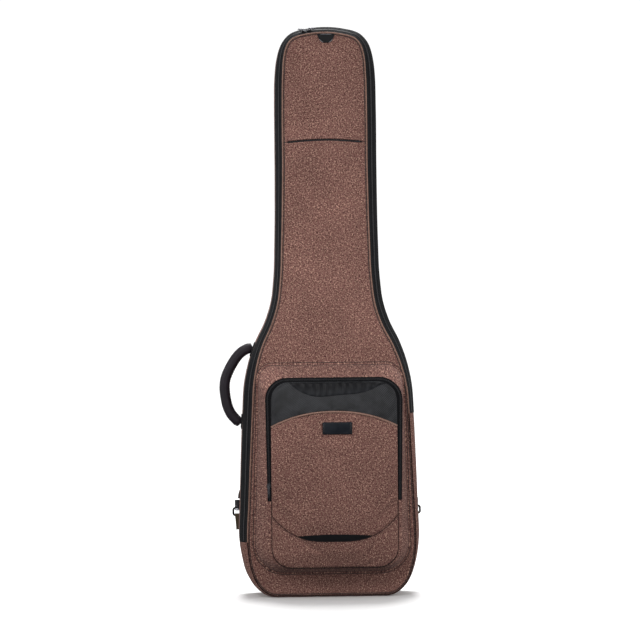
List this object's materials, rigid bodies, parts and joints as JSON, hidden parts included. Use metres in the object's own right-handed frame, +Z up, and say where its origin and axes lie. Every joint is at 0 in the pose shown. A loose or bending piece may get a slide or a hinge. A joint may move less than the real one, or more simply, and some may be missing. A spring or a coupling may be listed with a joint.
{
  "type": "padded gig bag",
  "caption": "Upright padded gig bag for an electric bass: zipped book-opening front, zip-round pocket flap with a pouch, side carry handle and backpack straps.",
  "frame": {"origin": "middle of the flat base that the bag stands on", "axes": "+Z up along the neck; the front with its pocket faces -Y, so the side handle is on the -X side"},
  "size_m": [0.4455, 0.232, 1.25],
  "materials": {
    "melange_fabric": "heathered mauve-brown woven polyester, matt",
    "lining": "soft grey brushed lining",
    "foam": "closed-cell padding covered in plush",
    "piping": "folded light-brown piping, matt",
    "zip_tape": "herringbone woven zip tape, matt",
    "zip_teeth": "black coil teeth, satin",
    "webbing": "ribbed black webbing",
    "black_twill": "coarse black twill with a soft grey sheen",
    "label": "blank black patch with a metal bar at each end",
    "dark_metal": "black-plated zinc, satin",
    "handle_rubber": "padded dark grip, satin",
    "strap_mesh": "black air mesh over padding",
    "buckle_plastic": "moulded black acetal",
    "tab_webbing": "olive-brown webbing",
    "ring_steel": "plated steel wire"
  },
  "bodies": {
    "bag": {"side_gusset": "melange_fabric", "gusset_lining": "lining", "back_panel": "melange_fabric", "back_piping": "piping", "back_foam": "foam", "back_lining": "lining", "zip_tape_rear": "zip_tape", "zip_teeth_rear": "zip_teeth", "neck_cradle": "foam", "neck_strap": "webbing", "end_block": "foam", "handle_anchor_upper": "webbing", "handle_anchor_lower": "webbing", "strap_yoke": "webbing", "side_tab_left": "tab_webbing", "side_tab_right": "tab_webbing", "side_ring_left": "ring_steel", "side_ring_right": "ring_steel"},
    "lid": {"front_panel": "melange_fabric", "head_pocket_zip": "zip_tape", "front_foam": "foam", "front_lining": "lining", "front_piping": "piping", "zip_tape_front": "zip_tape", "zip_teeth_front": "zip_teeth", "sewn_gusset": "melange_fabric", "hang_tab": "webbing", "pocket_gusset": "melange_fabric", "pocket_zip": "zip_tape", "pocket_piping": "piping", "pocket_lower_wall": "melange_fabric", "pouch_panel": "melange_fabric"},
    "pocket_flap": {"flap_window": "black_twill", "flap_face": "melange_fabric", "flap_piping": "piping", "label_patch": "label"},
    "main_slider_left": {"main_slider_left": "dark_metal"},
    "main_slider_right": {"main_slider_right": "dark_metal"},
    "main_pull_left": {"main_pull_left": "dark_metal"},
    "main_pull_right": {"main_pull_right": "dark_metal"},
    "head_slider": {"head_pocket_slider": "dark_metal"},
    "pocket_slider": {"pocket_slider": "dark_metal"},
    "pocket_pull": {"pocket_pull": "dark_metal"},
    "side_handle": {"side_handle_grip": "handle_rubber", "side_handle_webbing": "webbing"},
    "strap_left": {"strap_pad_left": "strap_mesh", "strap_webbing_left": "webbing", "ladder_lock_left": "buckle_plastic", "strap_hook_left": "ring_steel"},
    "strap_right": {"strap_pad_right": "strap_mesh", "strap_webbing_right": "webbing", "ladder_lock_right": "buckle_plastic", "strap_hook_right": "ring_steel"}
  },
  "joints": [
    {"name": "lid_hinge", "type": "hinge", "parent": "bag", "child": "lid", "pos_m": [0.1968, -0.048, 0.2], "axis": [0, 0, 1], "range_deg": [0, 120]},
    {"name": "pocket_flap_hinge", "type": "hinge", "parent": "lid", "child": "pocket_flap", "pos_m": [0, -0.147, 0.2135], "axis": [1, 0, 0], "range_deg": [0, 110]},
    {"name": "main_slider_left_slide", "type": "slide", "parent": "lid", "child": "main_slider_left", "axis": [-0.9781, 0, -0.208], "range_m": [0, 0.012]},
    {"name": "main_slider_right_slide", "type": "slide", "parent": "lid", "child": "main_slider_right", "axis": [0.9928, 0, 0.12], "range_m": [0, 0.025]},
    {"name": "main_pull_left_hinge", "type": "hinge", "parent": "main_slider_left", "child": "main_pull_left", "pos_m": [-0.04714, -0.04537, 1.24534], "axis": [0, 0.879, 0.4768], "range_deg": [0, 130]},
    {"name": "main_pull_right_hinge", "type": "hinge", "parent": "main_slider_right", "child": "main_pull_right", "pos_m": [-0.03512, -0.04535, 1.24778], "axis": [0, -0.8808, -0.4734], "range_deg": [0, 130]},
    {"name": "head_slider_slide", "type": "slide", "parent": "lid", "child": "head_slider", "axis": [-0.9902, -0.1137, 0.0807], "range_m": [0, 0.027]},
    {"name": "pocket_slider_slide", "type": "slide", "parent": "lid", "child": "pocket_slider", "axis": [-0.0154, 0, 0.9999], "range_m": [0, 0.18]},
    {"name": "pocket_pull_hinge", "type": "hinge", "parent": "pocket_slider", "child": "pocket_pull", "pos_m": [-0.1375, -0.1397, 0.247], "axis": [-1, 0, 0], "range_deg": [0, 150]},
    {"name": "side_handle_swing", "type": "hinge", "parent": "bag", "child": "side_handle", "pos_m": [-0.195, 0, 0.384], "axis": [0.1558, 0, 0.9878], "range_deg": [-50, 50]},
    {"name": "strap_left_swing", "type": "hinge", "parent": "bag", "child": "strap_left", "pos_m": [0, 0.069, 0.8], "axis": [1, 0, 0], "range_deg": [0, 70]},
    {"name": "strap_right_swing", "type": "hinge", "parent": "bag", "child": "strap_right", "pos_m": [0, 0.069, 0.8], "axis": [1, 0, 0], "range_deg": [0, 70]}
  ]
}
